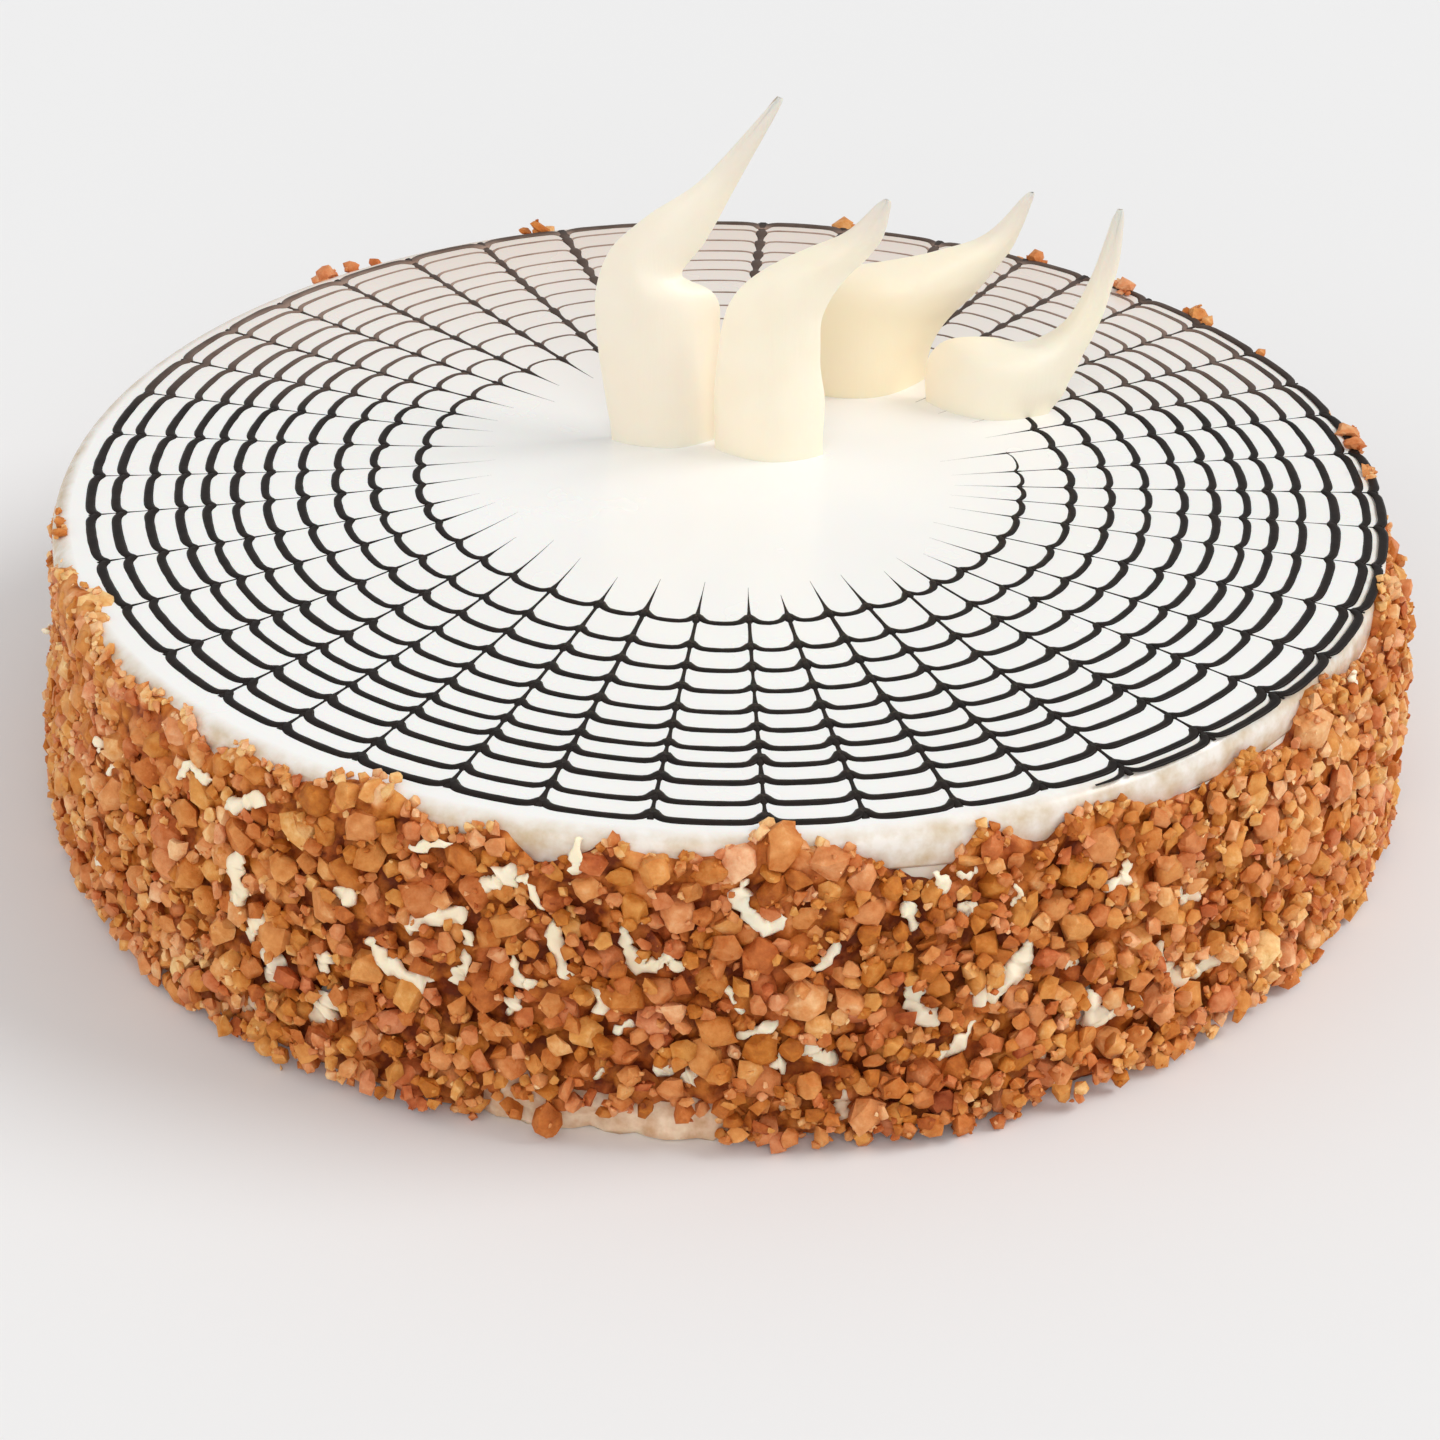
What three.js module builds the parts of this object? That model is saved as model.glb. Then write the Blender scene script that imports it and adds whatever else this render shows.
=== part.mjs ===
// A round butterscotch gateau: a cream-covered drum with a flat glazed top, a coat of
// butterscotch crunch pressed round its side, and four curled blades of white chocolate
// standing in the glaze. Millimetres, +Z up, origin at the centre of the underside, and the
// front is towards -Y.
import * as THREE from "three";
import { ParametricGeometry } from "three/addons/geometries/ParametricGeometry.js";

// ---- driving dimensions ----
const cakeHeight = 50; // underside to glazed top
const frostedRadius = 106.3; // cream-covered side
const rimRadius = 3; // soft round of the top edge
const footChamfer = 0.8; // where the cream is scraped off at the foot
const drumSegments = 96;
const rimSteps = 4;
const contactGap = 0.3; // left between pieces that touch

const coatDepth = 3.9; // mean depth of the crunch on the cream
const coatSpread = 0.9; // how much deeper the coat is at the foot than at the top
const coatRoughness = 1.05; // how far a lump stands out or a pit goes in
const coatEdgeTuck = 1.1; // how far the coat draws in at its foot and its upper edge
const coatTopMean = 48.6; // mean height of the coat's ragged upper edge
const coatTopRagged = 1.5; // how far that edge wanders up and down
const coatTopSlope = 0.4; // how much lower that edge is at the cream than at the face
const coatSegments = 168;
const coatRows = 13;

const bladeSlices = 18; // slices up each chocolate blade
const bladeSides = 14; // points round each slice
const tipThinning = 0.5; // thickness at the tip, as a share of that at the foot

// ---- a repeatable number between 0 and 1 for a pair of whole numbers ----
function scatter(i, j) {
  let bits = Math.imul(i + 1, 374761393) ^ Math.imul(j + 1, 668265263);
  bits = Math.imul(bits ^ (bits >>> 13), 1274126177);
  bits ^= bits >>> 16;
  return (bits >>> 0) / 2 ** 32;
}

// A lathe turns about +Y, and this part stands on +Z.
function uprightLathe(geometry) {
  geometry.rotateX(Math.PI / 2);
  return geometry;
}

// ---- cream-covered drum ----
function makeDrum() {
  const rimCentre = frostedRadius - rimRadius;
  const side = new THREE.Path();
  side.moveTo(0, 0);
  side.lineTo(frostedRadius - footChamfer, 0);
  side.lineTo(frostedRadius, footChamfer);
  side.lineTo(frostedRadius, cakeHeight - rimRadius);
  side.absarc(rimCentre, cakeHeight - rimRadius, rimRadius, 0, Math.PI / 2, false);
  side.lineTo(0, cakeHeight);
  return uprightLathe(new THREE.LatheGeometry(side.getPoints(rimSteps), drumSegments));
}

// ---- crunch coat: a ring with a lumpy outer face and a ragged upper edge ----

// Places where the coat stops short of the rim (negative) or climbs over it (positive):
// azimuth in degrees (0 is +X, -90 faces the front), change in height, half-width in degrees.
const coatEdgeMarks = [
  [-75, -3.6, 6],
  [-102, -1.4, 9],
  [-116, 2.0, 8],
  [-86, 1.9, 4],
  [-60, 0.9, 5],
  [-48, -1.8, 5],
  [62, 1.7, 5],
  [97, 2.1, 4],
  [128, 1.8, 5],
  [24, 1.6, 6],
];

// Height of the coat's upper edge at one step round the cake.
function coatTop(step) {
  // Seen from above, the lathe starts at -90 degrees and runs anticlockwise.
  const azimuth = (step / coatSegments) * 360 - 90;
  let height = coatTopMean + coatTopRagged * (scatter(step, coatRows + 1) - 0.5);
  for (const [centre, rise, spread] of coatEdgeMarks) {
    const away = Math.abs(((azimuth - centre + 540) % 360) - 180) / spread;
    height += rise * Math.exp(-away * away);
  }
  return height;
}

// Radius of the coat's outer face: lumps and pits about as far apart as the nuggets are wide.
function coatFace(step, row) {
  const lump = (scatter(step, row) - 0.5) * 2 * coatRoughness;
  const spread = coatSpread * (1 - row / coatRows);
  const tuck = row === 0 || row === coatRows ? coatEdgeTuck : 0;
  return frostedRadius + coatDepth + spread + lump - tuck;
}

function makeCoat() {
  const innerRadius = frostedRadius + contactGap;
  const innerTop = coatRows + 2; // place of the inner upper edge in the profile
  const profile = Array.from({ length: coatRows + 4 }, () => new THREE.Vector2(innerRadius, 0));
  const geometry = new THREE.LatheGeometry(profile, coatSegments);

  // The profile runs from the inner foot out, up the face, in over the top and down again.
  const points = geometry.getAttribute("position");
  for (let index = 0; index < points.count; index++) {
    const step = Math.floor(index / profile.length) % coatSegments;
    const place = index % profile.length;
    const turn = (step / coatSegments) * Math.PI * 2;
    let radius = innerRadius;
    let height = 0;
    if (place === innerTop) {
      height = coatTop(step) - coatTopSlope;
    } else if (place > 0 && place < innerTop) {
      radius = coatFace(step, place - 1);
      height = (coatTop(step) * (place - 1)) / coatRows;
    }
    points.setXYZ(index, Math.sin(turn) * radius, height, Math.cos(turn) * radius);
  }
  return uprightLathe(geometry);
}

// ---- white chocolate blades ----
// A blade is lofted between its two long edges, which are curves in the upright plane that
// it stands in. Each slice across it is a thin lens, cupped so that its middle stands
// towards the front and turned a little in plan, and the tip sweeps out of the plane.
function makeBlade(form) {
  const asCurve = (edge) => new THREE.SplineCurve(edge.map(([x, z]) => new THREE.Vector2(x, z)));
  const leftEdge = asCurve(form.leftEdge);
  const rightEdge = asCurve(form.rightEdge);
  const yaw = THREE.MathUtils.degToRad(form.yaw);

  function slicePoint(climb, around, target) {
    const left = leftEdge.getPoint(climb);
    const right = rightEdge.getPoint(climb);
    const middle = left.clone().lerp(right, 0.5);
    const half = right.sub(middle);
    const across = Math.cos(around);
    const cupped = form.cup * half.length() * (across * across - 0.5);
    const thickness = THREE.MathUtils.lerp(form.thickness, form.thickness * tipThinning, climb);
    const depth = cupped + (Math.sin(around) * thickness) / 2;
    const sweep = form.tipSweep * climb * climb;
    target.set(
      middle.x + half.x * across * Math.cos(yaw) - depth * Math.sin(yaw),
      form.plane + sweep + half.x * across * Math.sin(yaw) + depth * Math.cos(yaw),
      middle.y + half.y * across,
    );
  }

  // The first and last rows of points close the foot and the tip on their own middles.
  const lastRow = bladeSlices + 2;
  const loft = (u, v, target) => {
    const row = Math.round(v * lastRow);
    const climb = THREE.MathUtils.clamp((row - 1) / bladeSlices, 0, 1);
    if (row === 0 || row === lastRow) {
      const frontFace = new THREE.Vector3();
      slicePoint(climb, -Math.PI / 2, frontFace);
      slicePoint(climb, Math.PI / 2, target);
      target.lerp(frontFace, 0.5);
      return;
    }
    const side = Math.round(u * bladeSides) % bladeSides;
    slicePoint(climb, (side / bladeSides) * Math.PI * 2, target);
  };
  return new ParametricGeometry(loft, bladeSides, lastRow);
}

// Edges run from the foot to the tip as [x, z], and the points of a pair stand across from
// each other. plane: the y of the upright plane. tipSweep: how far behind it the tip ends.
// yaw: degrees that the width turns in plan. cup: depth of the hollow for its half-width.
const bladeFoot = cakeHeight + contactGap;
const blades = {
  blade_tall: {
    leftEdge: [
      [-17.2, bladeFoot], [-18.6, 60], [-19.6, 69], [-19.8, 76],
      [-17.6, 82.6], [-11.4, 88.6], [-2.4, 95.4], [7.8, 108],
    ],
    rightEdge: [
      [-0.2, bladeFoot], [-0.2, 60], [-0.4, 68.6], [-1.4, 74.4],
      [-6.8, 78], [-3, 84], [1.8, 93.6], [9.6, 108],
    ],
    plane: 15.5, tipSweep: 5, yaw: 5, cup: 0.42, thickness: 2,
  },
  blade_front: {
    leftEdge: [
      [-0.4, bladeFoot], [-0.6, 59], [-0.2, 67.6], [1.4, 76],
      [6.4, 81.8], [13.4, 86], [20, 89.8], [24.6, 96],
    ],
    rightEdge: [
      [16, bladeFoot], [16, 59], [15.4, 67], [15.6, 75],
      [18.2, 80.6], [22.2, 85.4], [25, 89.8], [26.4, 96],
    ],
    plane: 11, tipSweep: -2.5, yaw: -7, cup: 0.45, thickness: 2,
  },
  blade_back: {
    leftEdge: [
      [12.4, bladeFoot], [11.2, 58], [11.4, 65.4], [16, 70.2],
      [25.4, 71.8], [35.4, 74], [43.6, 77.2], [49.8, 84.6],
    ],
    rightEdge: [
      [34.2, bladeFoot], [35.4, 56], [38.2, 60.6], [41.6, 64.6],
      [44.6, 68.7], [47, 73.2], [49.2, 78.3], [51.4, 84.6],
    ],
    plane: 35.5, tipSweep: 3, yaw: 9, cup: 0.5, thickness: 1.9,
  },
  blade_right: {
    leftEdge: [
      [34.4, bladeFoot], [33.8, 55.6], [36.4, 60], [43, 61.2],
      [50, 60.8], [56.4, 64.8], [60.6, 73.4], [63.4, 85.7],
    ],
    rightEdge: [
      [53.6, bladeFoot], [55.6, 52.8], [57, 56], [58.8, 59.7],
      [60.6, 63.8], [62.6, 69], [64.4, 76.3], [65.2, 85.7],
    ],
    plane: 27.5, tipSweep: 2, yaw: -12, cup: 0.46, thickness: 1.9,
  },
};

// ---- colours ----
const cream = new THREE.MeshStandardMaterial({
  color: 0xfaf6ee,
  roughness: 0.45,
  metalness: 0,
});
const crunch = new THREE.MeshStandardMaterial({
  color: 0xb87843,
  roughness: 0.55,
  metalness: 0,
});
const whiteChocolate = new THREE.MeshStandardMaterial({
  color: 0xf8ebcf,
  roughness: 0.4,
  metalness: 0,
});

// ---- assembly ----
function piece(name, geometry, material) {
  const mesh = new THREE.Mesh(geometry, material);
  mesh.name = name;
  return mesh;
}

const gateau = new THREE.Group();
gateau.add(piece("cream_drum", makeDrum(), cream));
gateau.add(piece("crunch_coat", makeCoat(), crunch));
for (const [name, form] of Object.entries(blades)) {
  gateau.add(piece(name, makeBlade(form), whiteChocolate));
}

export default gateau;
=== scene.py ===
import math

import bmesh
import bpy
import numpy as np
from mathutils import Matrix, Quaternion, Vector, noise


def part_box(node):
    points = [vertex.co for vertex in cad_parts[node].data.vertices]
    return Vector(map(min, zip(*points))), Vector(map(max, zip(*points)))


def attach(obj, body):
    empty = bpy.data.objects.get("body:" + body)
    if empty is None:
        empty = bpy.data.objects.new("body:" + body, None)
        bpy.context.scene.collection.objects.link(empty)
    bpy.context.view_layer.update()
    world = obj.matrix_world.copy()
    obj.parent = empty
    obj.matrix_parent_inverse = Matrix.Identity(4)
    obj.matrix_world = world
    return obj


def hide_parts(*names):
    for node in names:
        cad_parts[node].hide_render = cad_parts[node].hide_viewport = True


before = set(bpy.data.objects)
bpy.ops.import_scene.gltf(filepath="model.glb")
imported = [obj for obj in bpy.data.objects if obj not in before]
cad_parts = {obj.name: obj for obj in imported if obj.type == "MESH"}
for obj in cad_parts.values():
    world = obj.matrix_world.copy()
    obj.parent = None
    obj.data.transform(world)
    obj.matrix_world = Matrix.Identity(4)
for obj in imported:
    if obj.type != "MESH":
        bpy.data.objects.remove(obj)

noise.seed_set(7)  # noise_vector would start from the clock
mm = 0.001
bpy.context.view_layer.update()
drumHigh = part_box("cream_drum")[1]
cakeTop = drumHigh.z
frostedRadius = drumHigh.x
rimRadius = 3 * mm


def polar(radius, azimuth, height):
    return Vector((radius * math.cos(azimuth), radius * math.sin(azimuth), height))


def degreesApart(a, b):
    return abs((a - b + 180) % 360 - 180)


def smoothStep(value, low, high):
    share = min(1, max(0, (value - low) / (high - low)))
    return share * share * (3 - 2 * share)


# Materials are short chains of nodes.
def newMaterial(name, **sockets):
    material = bpy.data.materials.new(name)
    material.use_nodes = True
    shader = material.node_tree.nodes["Principled BSDF"]
    for socket, value in sockets.items():
        shader.inputs[socket.replace("_", " ")].default_value = value
    return material, shader


def addNode(material, kind, operation=None, **inputs):
    node = material.node_tree.nodes.new("ShaderNode" + kind)
    if operation:
        node.operation = operation
    for name, value in inputs.items():
        socket = node.inputs[int(name[2:]) if name.startswith("in") else name]
        if isinstance(value, bpy.types.NodeSocket):
            material.node_tree.links.new(value, socket)
        else:
            socket.default_value = value
    return node


def objectPoint(material):
    return addNode(material, "TexCoord").outputs["Object"]


def noiseOn(material, place, scale, detail=3, roughness=0.55):
    node = addNode(material, "TexNoise", Vector=place, Scale=scale, Detail=detail,
                   Roughness=roughness)
    return node.outputs["Fac"]


def rampOn(material, factor, stops):
    node = addNode(material, "ValToRGB", Fac=factor)
    elements = node.color_ramp.elements
    while len(elements) < len(stops):
        elements.new(1)
    for element, (place, colour) in zip(elements, stops):
        element.position = place
        element.color = (*colour, 1)
    return node.outputs["Color"]


def feed(shader, socket, output):
    shader.id_data.links.new(output, shader.inputs[socket])


def bumpOn(material, shader, height, strength, distance):
    node = addNode(material, "Bump", Height=height, Strength=strength, Distance=distance)
    feed(shader, "Normal", node.outputs["Normal"])


# As the value goes from start to end, the result goes from low to high.
def rangeOf(material, value, low, high, start=0, end=1):
    return addNode(material, "MapRange", Value=value, in1=start, in2=end, in3=low,
                   in4=high).outputs["Result"]


def mixOf(material, share, one, other):
    return addNode(material, "MixRGB", Fac=share, Color1=one, Color2=other).outputs["Color"]


def timesOf(material, one, other, clamp=False):
    node = addNode(material, "Math", "MULTIPLY", in0=one, in1=other)
    node.use_clamp = clamp
    return node.outputs["Value"]


def lengthOf(material, vector):
    return addNode(material, "VectorMath", "LENGTH", in0=vector).outputs["Value"]


def axisOf(material, place, axis):
    return addNode(material, "SeparateXYZ", Vector=place).outputs[axis]


def attributeOf(material, name):
    node = addNode(material, "Attribute")
    node.attribute_name = name
    return node.outputs["Fac"]


def fromSrgb(red, green, blue):
    def linear(value):
        value /= 255
        return value / 12.92 if value <= 0.04045 else ((value + 0.055) / 1.055) ** 2.4

    return linear(red), linear(green), linear(blue)


def addToScene(name, data):
    thing = bpy.data.objects.new(name, data)
    bpy.context.scene.collection.objects.link(thing)
    return thing


def finishPiece(name, mesh, material, replaced=()):
    piece = addToScene(name, mesh)
    mesh.materials.clear()
    mesh.materials.append(material)
    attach(piece, "root")
    if replaced:
        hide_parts(*replaced)
    print(f"{name}: {sum(len(face.vertices) - 2 for face in mesh.polygons)} triangles")
    return piece


# A curve's own mesh, with the curve itself removed again.
def curveMesh(curve, name):
    shape = addToScene(name + "Curve", curve)
    bpy.context.view_layer.update()
    evaluated = shape.evaluated_get(bpy.context.evaluated_depsgraph_get())
    mesh = bpy.data.meshes.new_from_object(evaluated)
    mesh.name = name
    bpy.data.objects.remove(shape)
    for face in mesh.polygons:
        face.use_smooth = True
    return mesh


def meshFrom(bm, name, smooth=True):
    mesh = bpy.data.meshes.new(name)
    bmesh.ops.recalc_face_normals(bm, faces=bm.faces)
    bm.to_mesh(mesh)
    bm.free()
    for face in mesh.polygons:
        face.use_smooth = smooth
    return mesh


# A profile of (radius, height) that starts and ends on the axis, turned right round it.
def turned(profile, steps):
    bm = bmesh.new()
    verts = [bm.verts.new((radius, 0, height)) for radius, height in profile]
    edges = [bm.edges.new(pair) for pair in zip(verts, verts[1:])]
    bmesh.ops.spin(bm, geom=verts + edges, cent=(0, 0, 0), axis=(0, 0, 1), dvec=(0, 0, 0),
                   angle=math.tau, steps=steps, use_merge=True, use_duplicate=False)
    bmesh.ops.remove_doubles(bm, verts=bm.verts, dist=0.01 * mm)
    return bm


# A bell over the azimuth: 1 at its middle, and about a third at its width to each side.
def bell(azimuth, middle, width):
    return math.exp(-((degreesApart(azimuth, middle) / width) ** 2))


# The coat's surface runs up the side, round the rim and in over the top. A place on it is an
# azimuth in degrees and a climb, the distance from the foot along that surface.
sideTop = cakeTop - rimRadius
rimTop = sideTop + rimRadius * math.pi / 2


def surfaceAt(climb):
    if climb <= sideTop:
        return frostedRadius, climb, 0
    lean = min((climb - sideTop) / rimRadius, math.pi / 2)
    inward = max(0, climb - rimTop)
    return (frostedRadius - rimRadius * (1 - math.cos(lean)) - inward,
            sideTop + rimRadius * math.sin(lean), lean)


def onCake(azimuth, climb, lift=0):
    radius, height, lean = surfaceAt(climb)
    angle = math.radians(azimuth)
    out = Vector((math.cos(angle) * math.cos(lean), math.sin(angle) * math.cos(lean),
                  math.sin(lean)))
    return polar(radius, angle, height) + out * lift, out


# Cream
cream = {
    "segments": 300,
    "rows": 30,
    "foot": 0.8 * mm,  # bevel round the underside
    "inset": 0.35 * mm,  # below the glaze and the CAD surface
    "smear": 0.45 * mm,  # how far the palette knife left it uneven
    "footSwell": 2.9 * mm,  # bare cream that squeezes out between the crumbs at the foot
    "dustAndFootShade": (7 * mm, 11 * mm),  # heights between which the crumb dust and the painted shade at the foot thin out
}
# Where the coat is bare: azimuth, height, half-width round the side and half-height, in mm.
bareCream = [
    (-104.8, 5.0, 6.2, 4.2), (-100.2, 4.0, 6.2, 3.4), (-95.6, 3.8, 5.2, 3.0),
    (-91.5, 4.4, 4.6, 2.8), (-60, 14, 2.2, 3.4), (-121.6, 12, 2, 2.6),
]


def bareness(azimuth, height):
    most = 0
    for centre, level, halfWidth, halfHeight in bareCream:
        across = math.radians(degreesApart(azimuth, centre)) * frostedRadius / (halfWidth * mm)
        up = (height - level * mm) / (halfHeight * mm)
        up = max(up, 0) if level < 6 else up
        most = max(most, 1 - smoothStep(math.hypot(across, up), 0.7, 1.2))
    return most


# The cream has picked up crumb dust low on the side, and is painted darker there as painted shade
# at the foot.
def creamMaterial(name, dark, light):
    material, shader = newMaterial(name, Roughness=0.48, Subsurface_Weight=0.2,
                                   Subsurface_Scale=0.002)
    place = objectPoint(material)
    plain = rampOn(material, noiseOn(material, place, 90), [
        (0.3, fromSrgb(*dark)), (0.7, fromSrgb(*light))])
    dustAndFootShade = rampOn(material, noiseOn(material, place, 330, 4), [
        (0.3, fromSrgb(204, 160, 120)), (0.65, fromSrgb(242, 216, 186))])
    low = rangeOf(material, axisOf(material, place, "Z"), 1, 0, *cream["dustAndFootShade"])
    feed(shader, "Base Color", mixOf(material, low, plain, dustAndFootShade))
    bumpOn(material, shader, noiseOn(material, place, 420, 4), 0.35, 0.25 * mm)
    return material


def makeCream():
    radius = frostedRadius - cream["inset"]
    top = cakeTop - cream["inset"]
    foot, rows = cream["foot"], cream["rows"]
    profile = [(0, 0), (radius * 0.5, 0), (radius - foot, 0)]
    for row in range(rows + 1):
        profile.append((radius, foot + (top - rimRadius - foot) * row / rows))
    for step in range(1, 7):
        turn = math.pi / 2 * step / 6
        profile.append((radius - rimRadius * (1 - math.cos(turn)),
                        top - rimRadius * (1 - math.sin(turn))))
    profile += [(radius * 0.7, top), (radius * 0.35, top), (0, top)]
    bm = turned(profile, cream["segments"])
    for vert in bm.verts:
        flat = math.hypot(vert.co.x, vert.co.y)
        if flat < radius - rimRadius:
            continue
        azimuth = math.degrees(math.atan2(vert.co.y, vert.co.x))
        push = cream["smear"] * noise.noise(vert.co * 95)
        lumps = 0.75 + 0.6 * noise.noise(vert.co * 260)
        push += cream["footSwell"] * bareness(azimuth, vert.co.z) * lumps
        vert.co.x *= 1 + push / flat
        vert.co.y *= 1 + push / flat
    material = creamMaterial("whippedCream", (251, 242, 224), (255, 249, 236))
    finishPiece("creamCake", meshFrom(bm, "creamCake"), material, ["cream_drum"])


# Glaze: a thin skin over the top, which rolls over the rim and ends in an uneven edge.
glaze = {
    "thickness": 0.7 * mm,
    "edgeDrop": 6.4 * mm,  # how far below the top its edge lies
    "edgeWander": 0.8 * mm,
    "segments": 220,
    "warm": (20 * mm, 95 * mm),  # how far back the painted warmer shade starts and is full
    "dustRim": (103.2 * mm, 105.8 * mm),  # distances between which the dust comes in
    "dustLeft": (-102 * mm, -70 * mm),  # where the left has more of it, dust and painted shade together
}


# The glaze is painted a shade darker and warmer towards the back, as painted shade, and crumb
# dust has got on to its rim, with more on the left, where it also stands for painted shade.
def glazeMaterial():
    material, shader = newMaterial("whiteGlaze", Roughness=0.24, Coat_Weight=0.2,
                                   Coat_Roughness=0.12, Subsurface_Weight=0.1,
                                   Subsurface_Scale=0.0015)
    place = objectPoint(material)
    cloud = noiseOn(material, place, 26)
    plain = rampOn(material, cloud, [
        (0.25, fromSrgb(245, 243, 239)), (0.75, fromSrgb(249, 248, 245))])
    # painted shade: darker and warmer towards the back
    warm = rampOn(material, cloud, [
        (0.25, fromSrgb(228, 214, 202)), (0.75, fromSrgb(236, 223, 212))])
    back = rangeOf(material, axisOf(material, place, "Y"), 0, 1, *glaze["warm"])
    blend = mixOf(material, back, plain, warm)
    flat = addNode(material, "VectorMath", "MULTIPLY", in0=place, in1=(1, 1, 0))
    away = lengthOf(material, flat.outputs["Vector"])
    rim = rangeOf(material, away, 0, 1, *glaze["dustRim"])
    dust = rangeOf(material, noiseOn(material, place, 240, 4), 0.28, 0.95, 0.35, 0.7)
    # painted shade: the left rim is given more of the dust colour
    left = rangeOf(material, axisOf(material, place, "X"), 1.6, 1, *glaze["dustLeft"])
    share = timesOf(material, rim, timesOf(material, left, dust), clamp=True)
    dusted = mixOf(material, share, blend, (*fromSrgb(204, 179, 142), 1))
    feed(shader, "Base Color", dusted)
    feed(shader, "Roughness", rangeOf(material, noiseOn(material, place, 60), 0.2, 0.32))
    bumpOn(material, shader, noiseOn(material, place, 38, 2), 0.08, 0.4 * mm)
    return material


def makeGlaze():
    thickness = glaze["thickness"]
    rimCentre = cakeTop - rimRadius
    profile = [(0, cakeTop), (frostedRadius * 0.45, cakeTop), (frostedRadius * 0.85, cakeTop)]
    for step in range(9):
        turn = math.pi / 2 * (1 - step / 8)
        profile.append((frostedRadius - rimRadius + rimRadius * math.cos(turn),
                        rimCentre + rimRadius * math.sin(turn)))
    edge = cakeTop - glaze["edgeDrop"]
    profile += [(frostedRadius + 0.05 * mm, edge + 0.5 * mm), (frostedRadius - 0.1 * mm, edge),
                (frostedRadius - thickness, edge - 0.1 * mm),
                (frostedRadius - 2 * rimRadius, cakeTop - rimRadius),
                (frostedRadius * 0.8, cakeTop - 2 * thickness), (0, cakeTop - 2 * thickness)]
    bm = turned(profile, glaze["segments"])
    for vert in bm.verts:
        flat = math.hypot(vert.co.x, vert.co.y)
        if flat > frostedRadius - 1.5 * thickness and vert.co.z < rimCentre:
            along = vert.co / flat
            vert.co.z += glaze["edgeWander"] * noise.noise(Vector((along.x, along.y, 0)) * 7)
    mesh = meshFrom(bm, "glazeTop")
    finishPiece("glazeTop", mesh, glazeMaterial())


# Web: one spiral line of dark chocolate, and the strokes that drag it towards the middle.
web = {
    "centre": Vector((1.2 * mm, 0, 0)),
    "startAzimuth": -60,
    "turns": 11.21,
    "outerWidth": 1.62,
    "innerWidth": 1.24,
    "relief": 0.26 * mm,
    "drag": 2.4,  # how far a stroke pulls the line in
    "reach": 1.0,  # how far to each side of a stroke the line bends
    "tail": 11,  # how far a stroke runs on past the innermost turn
    "strokeWidth": 0.66,
    "strokeBlob": 0.78,  # how much wider a stroke is where it has crossed a turn
    "thin": (25 * mm, 80 * mm),  # how far back the lines start to thin and are thinnest
    "firmEdge": (112.5 * mm, 114.5 * mm),  # distances between which the outermost turn firms up
}
# Distance of the spiral from the middle after each whole turn, in mm.
turnRadii = [103.7, 101.7, 96.8, 91.6, 87.1, 83.0, 78.2, 73.3, 67.6, 61.8, 56.0, 48.0, 40.7]
# The strokes: azimuth at the rim, and how far it turns on the way in to 45 mm.
strokes = [
    (-172.9, -7.4), (-163.9, -7.9), (-155.2, -9.3), (-146.0, -9.2), (-137.2, -9.0),
    (-129.7, -7.3), (-121.6, -5.4), (-112.9, -3.1), (-105.0, -1.4), (-95.9, 0.0),
    (-86.8, 1.2), (-78.9, 1.1), (-71.3, 1.7), (-63.9, 2.4), (-56.6, 4.6),
    (-47.8, 3.2), (-38.8, 1.6), (-30.8, 1.4), (-22.3, 1.1), (-13.8, 1.6),
    (-6.8, 1.5), (-0.2, 0.8), (7.5, -0.5), (15.5, -0.5), (22.2, 0.5),
    (29.5, 0.4), (37.1, 0.0), (44.3, 0.0), (52.1, -0.5), (59.0, -1.0),
    (68.3, -1.0), (78.4, -1.0), (86.6, 1.0), (97.2, -0.5), (107.1, -1.5),
    (115.7, -2.5), (123.7, -3.0), (132.1, -3.5), (139.6, -4.0), (147.1, -4.0),
    (154.6, -4.4), (162.2, -6.5), (171.0, -7.3), (179.5, -7.8),
]


def turnRadius(turns, azimuth):
    index = min(int(turns), len(turnRadii) - 2)
    radius = turnRadii[index] + (turnRadii[index + 1] - turnRadii[index]) * (turns - index)
    angle = math.radians(azimuth)
    inner = turns / web["turns"]
    radius += 0.8 * math.cos(angle) + (0.35 + 3.2 * inner) * math.sin(angle)
    return (radius - 0.7 * math.sin(2 * angle)) * mm


def strokePoint(stroke, radius):
    azimuth, twist = stroke
    bearing = azimuth + twist * ((100 * mm / radius) ** 2 - 1) / 3.94
    return web["centre"] + polar(radius, math.radians(bearing), 0), bearing


# Strokes are firm at the front and back, and light at the two sides.
def strokeStrength(azimuth):
    return 0.42 + 0.58 * abs(math.sin(math.radians(azimuth))) ** 1.5


# The line was run thinner at the back, and the strokes there are the darkest.
def farBack(azimuth):
    return smoothStep(math.sin(math.radians(azimuth)), 0.25, 0.95)


def webCurve(name, runs, material):
    curve = bpy.data.curves.new(name, "CURVE")
    curve.dimensions = "3D"
    curve.bevel_depth = 1 * mm
    curve.bevel_resolution = 1
    curve.use_fill_caps = True
    curve.twist_mode = "Z_UP"
    for run in runs:
        spline = curve.splines.new("POLY")
        spline.points.add(len(run) - 1)
        for point, (place, width) in zip(spline.points, run):
            point.co = (place.x, place.y, 0, 1)
            point.radius = width / 2
    mesh = curveMesh(curve, name)
    squash = 2 * web["relief"] / (web["outerWidth"] * mm)
    mesh.transform(Matrix.Translation((0, 0, cakeTop)) @ Matrix.Diagonal((1, 1, squash, 1)))
    return finishPiece(name, mesh, material)


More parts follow.
